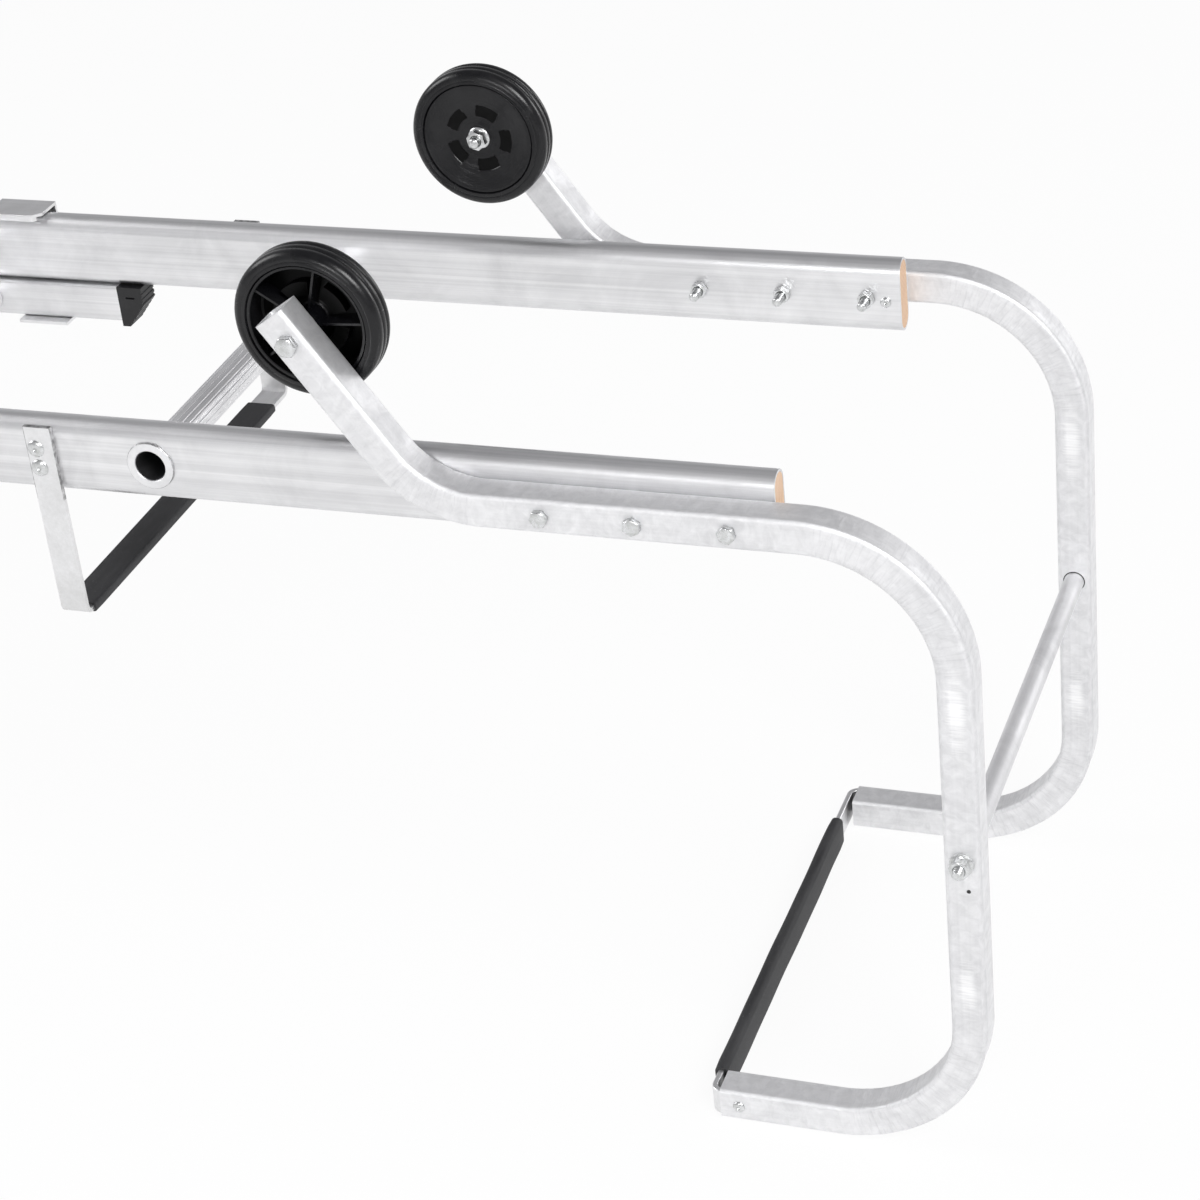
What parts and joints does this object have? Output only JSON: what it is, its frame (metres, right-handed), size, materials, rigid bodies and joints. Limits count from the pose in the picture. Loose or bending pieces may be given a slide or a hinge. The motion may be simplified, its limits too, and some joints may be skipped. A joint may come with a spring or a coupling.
{
  "type": "roof ladder",
  "caption": "Sliding aluminium roof ladder with swan-neck ridge hooks, wheels for rolling it up the roof and rubber-sleeved bearer bars.",
  "frame": {"origin": "centre of the underside of the upper bearer's rubber sleeve, on the roof plane, midway between the stiles", "axes": "+X along the ladder towards the ridge hooks, +Y across it, +Z away from the roof; the section that slides out moves towards -X"},
  "size_m": [2.8995, 0.4222, 0.6548],
  "materials": {
    "ladder_aluminium": "mill finish, fine drawing lines along the section",
    "tube_aluminium": "mill finish, scuffed at the bends",
    "bar_aluminium": "mill finish flat bar",
    "plate_aluminium": "mill finish folded plate",
    "zinc_steel": "bright zinc plate",
    "stay_steel": "zinc plate",
    "timber": "bare softwood, planed",
    "sleeve_rubber": "matt, scuffed",
    "foot_rubber": "matt, ribbed",
    "tyre_rubber": "semi-matt, two tread grooves",
    "wheel_plastic": "moulded, glossy",
    "cap_plastic": "moulded, ribbed"
  },
  "bodies": {
    "upper_section": {"upper_stile_near": "ladder_aluminium", "upper_stile_far": "ladder_aluminium", "upper_rung_1": "ladder_aluminium", "upper_rung_2": "ladder_aluminium", "upper_rung_3": "ladder_aluminium", "upper_rung_4": "ladder_aluminium", "upper_rung_5": "ladder_aluminium", "upper_rung_6": "ladder_aluminium", "upper_rung_7": "ladder_aluminium", "stile_plug_near": "timber", "stile_plug_far": "timber", "hook_tube_near": "tube_aluminium", "hook_tube_far": "tube_aluminium", "plug_screws": "zinc_steel", "hook_bolts": "zinc_steel", "hook_nuts": "zinc_steel", "flange_nuts": "zinc_steel", "washers": "zinc_steel", "cross_tube": "tube_aluminium", "cross_rod": "zinc_steel", "ridge_bar": "bar_aluminium", "ridge_sleeve": "sleeve_rubber", "ridge_rivets": "zinc_steel", "bearer_bar": "bar_aluminium", "bearer_sleeve": "sleeve_rubber", "upper_rivets": "zinc_steel", "upper_foot_cap_near": "cap_plastic", "upper_foot_cap_far": "cap_plastic", "foot_guide_near": "plate_aluminium", "foot_guide_far": "plate_aluminium", "axle_bolts": "zinc_steel"},
    "base_section": {"base_stile_near": "ladder_aluminium", "base_stile_far": "ladder_aluminium", "base_rung_1": "ladder_aluminium", "base_rung_2": "ladder_aluminium", "base_rung_3": "ladder_aluminium", "base_rung_4": "ladder_aluminium", "base_rung_5": "ladder_aluminium", "base_rung_6": "ladder_aluminium", "base_rung_7": "ladder_aluminium", "base_top_cap_near": "cap_plastic", "base_top_cap_far": "cap_plastic", "top_guide_near": "plate_aluminium", "top_guide_far": "plate_aluminium", "rubber_foot_near": "foot_rubber", "rubber_foot_far": "foot_rubber", "base_bearer_bar": "bar_aluminium", "base_bearer_sleeve": "sleeve_rubber", "base_rivets": "zinc_steel", "stay_pivots": "zinc_steel"},
    "stay": {"stay_hook_near": "stay_steel", "stay_hook_far": "stay_steel", "stay_tie_rod": "stay_steel"},
    "wheel_near": {"wheel_centre_near": "wheel_plastic", "tyre_near": "tyre_rubber"},
    "wheel_far": {"wheel_centre_far": "wheel_plastic", "tyre_far": "tyre_rubber"}
  },
  "joints": [
    {"name": "base_slide", "type": "slide", "parent": "upper_section", "child": "base_section", "axis": [-1, 0, 0], "range_m": [0, 1.26]},
    {"name": "stay_swing", "type": "hinge", "parent": "base_section", "child": "stay", "pos_m": [-0.257, 0, 0.08475], "axis": [0, 1, 0], "range_deg": [-40, 209.7]},
    {"name": "wheel_near_spin", "type": "hinge", "parent": "upper_section", "child": "wheel_near", "pos_m": [0.21597, -0.1566, 0.24137], "axis": [0, 1, 0], "continuous": true},
    {"name": "wheel_far_spin", "type": "hinge", "parent": "upper_section", "child": "wheel_far", "pos_m": [0.21597, 0.1566, 0.24137], "axis": [0, 1, 0], "continuous": true}
  ]
}
